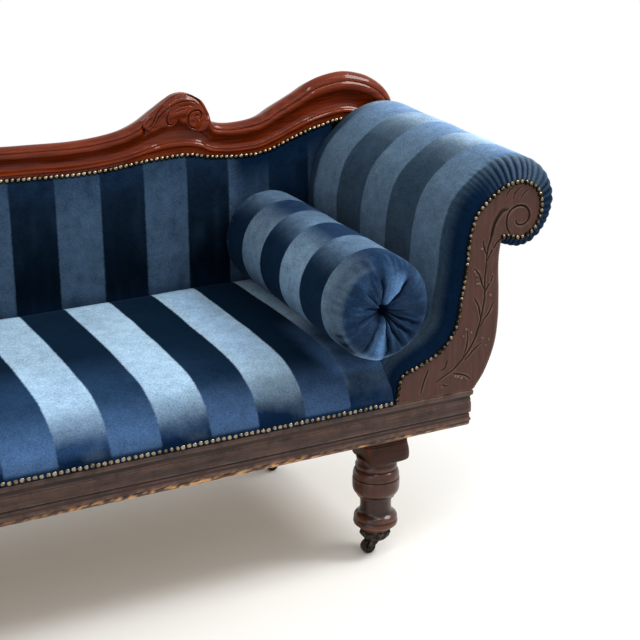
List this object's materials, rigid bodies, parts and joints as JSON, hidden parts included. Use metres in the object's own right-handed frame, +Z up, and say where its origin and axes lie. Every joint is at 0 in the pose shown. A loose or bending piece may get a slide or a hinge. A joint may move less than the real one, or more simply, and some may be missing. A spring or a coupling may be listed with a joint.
{
  "type": "fainting couch",
  "caption": "Fainting couch with a scrolled arm at one end, serpentine carved crest rail, upholstered seat and back, loose bolster, moulded rails and turned legs on castors.",
  "frame": {"origin": "centre of the bounding box at floor level", "axes": "+X from the foot end to the arm end, +Y from the front to the back, +Z up"},
  "size_m": [1.8484, 0.6428, 0.9099],
  "materials": {
    "worn_wood": "dark brown carved hardwood, worn satin",
    "polished_wood": "red-brown polished hardwood, glossy",
    "frame_wood": "bare sawn timber, matt",
    "velvet": "cotton velvet in broad light and dark blue stripes",
    "hessian": "jute webbing and hessian",
    "brass": "antique domed nail heads",
    "castor_iron": "dark tarnished metal"
  },
  "bodies": {
    "frame": {"arm_base_rail": "frame_wood", "arm_facing": "worn_wood", "arm_nails": "brass", "arm_pad": "velvet", "arm_rear_board": "frame_wood", "arm_roll_rail": "frame_wood", "arm_webbing": "hessian", "back_foot_block": "worn_wood", "back_foot_castor_plate": "castor_iron", "back_foot_leg": "worn_wood", "back_head_block": "worn_wood", "back_head_castor_plate": "castor_iron", "back_head_leg": "worn_wood", "back_pad": "velvet", "back_seat_rail": "frame_wood", "back_webbing": "hessian", "crest_nails": "brass", "crest_rail": "polished_wood", "dust_cover": "hessian", "foot_cross_rail": "frame_wood", "foot_end_rail": "worn_wood", "foot_stile": "frame_wood", "front_foot_block": "worn_wood", "front_foot_castor_plate": "castor_iron", "front_foot_leg": "worn_wood", "front_head_block": "worn_wood", "front_head_castor_plate": "castor_iron", "front_head_leg": "worn_wood", "front_seat_rail": "worn_wood", "head_cross_rail": "frame_wood", "head_end_rail": "frame_wood", "head_stile": "frame_wood", "low_stile": "frame_wood", "middle_cross_rail": "frame_wood", "middle_stile": "frame_wood", "outside_arm_cover": "velvet", "outside_back_cover": "velvet", "seat_foot_nails": "brass", "seat_front_nails": "brass", "seat_pad": "velvet", "seat_webbing": "hessian"},
    "bolster": {"bolster": "velvet"},
    "front_foot_castor": {"front_foot_castor_horn": "castor_iron", "front_foot_castor_axle": "castor_iron"},
    "front_foot_wheel": {"front_foot_castor_wheel": "castor_iron"},
    "front_head_castor": {"front_head_castor_horn": "castor_iron", "front_head_castor_axle": "castor_iron"},
    "front_head_wheel": {"front_head_castor_wheel": "castor_iron"},
    "back_foot_castor": {"back_foot_castor_horn": "castor_iron", "back_foot_castor_axle": "castor_iron"},
    "back_foot_wheel": {"back_foot_castor_wheel": "castor_iron"},
    "back_head_castor": {"back_head_castor_horn": "castor_iron", "back_head_castor_axle": "castor_iron"},
    "back_head_wheel": {"back_head_castor_wheel": "castor_iron"}
  },
  "joints": [
    {"name": "bolster_lift", "type": "slide", "parent": "frame", "child": "bolster", "axis": [0, 0, 1], "range_m": [0, 0.25]},
    {"name": "front_foot_swivel", "type": "hinge", "parent": "frame", "child": "front_foot_castor", "pos_m": [-0.73739, -0.20563, 0.03685], "axis": [0, 0, 1], "continuous": true},
    {"name": "front_foot_roll", "type": "hinge", "parent": "front_foot_castor", "child": "front_foot_wheel", "pos_m": [-0.75439, -0.20563, 0.01482], "axis": [0, 1, 0], "continuous": true},
    {"name": "front_head_swivel", "type": "hinge", "parent": "frame", "child": "front_head_castor", "pos_m": [0.52861, -0.20563, 0.03685], "axis": [0, 0, 1], "continuous": true},
    {"name": "front_head_roll", "type": "hinge", "parent": "front_head_castor", "child": "front_head_wheel", "pos_m": [0.51161, -0.20563, 0.01482], "axis": [0, 1, 0], "continuous": true},
    {"name": "back_foot_swivel", "type": "hinge", "parent": "frame", "child": "back_foot_castor", "pos_m": [-0.73739, 0.24837, 0.03685], "axis": [0, 0, 1], "continuous": true},
    {"name": "back_foot_roll", "type": "hinge", "parent": "back_foot_castor", "child": "back_foot_wheel", "pos_m": [-0.75439, 0.24837, 0.01482], "axis": [0, 1, 0], "continuous": true},
    {"name": "back_head_swivel", "type": "hinge", "parent": "frame", "child": "back_head_castor", "pos_m": [0.52861, 0.24837, 0.03685], "axis": [0, 0, 1], "continuous": true},
    {"name": "back_head_roll", "type": "hinge", "parent": "back_head_castor", "child": "back_head_wheel", "pos_m": [0.51161, 0.24837, 0.01482], "axis": [0, 1, 0], "continuous": true}
  ]
}
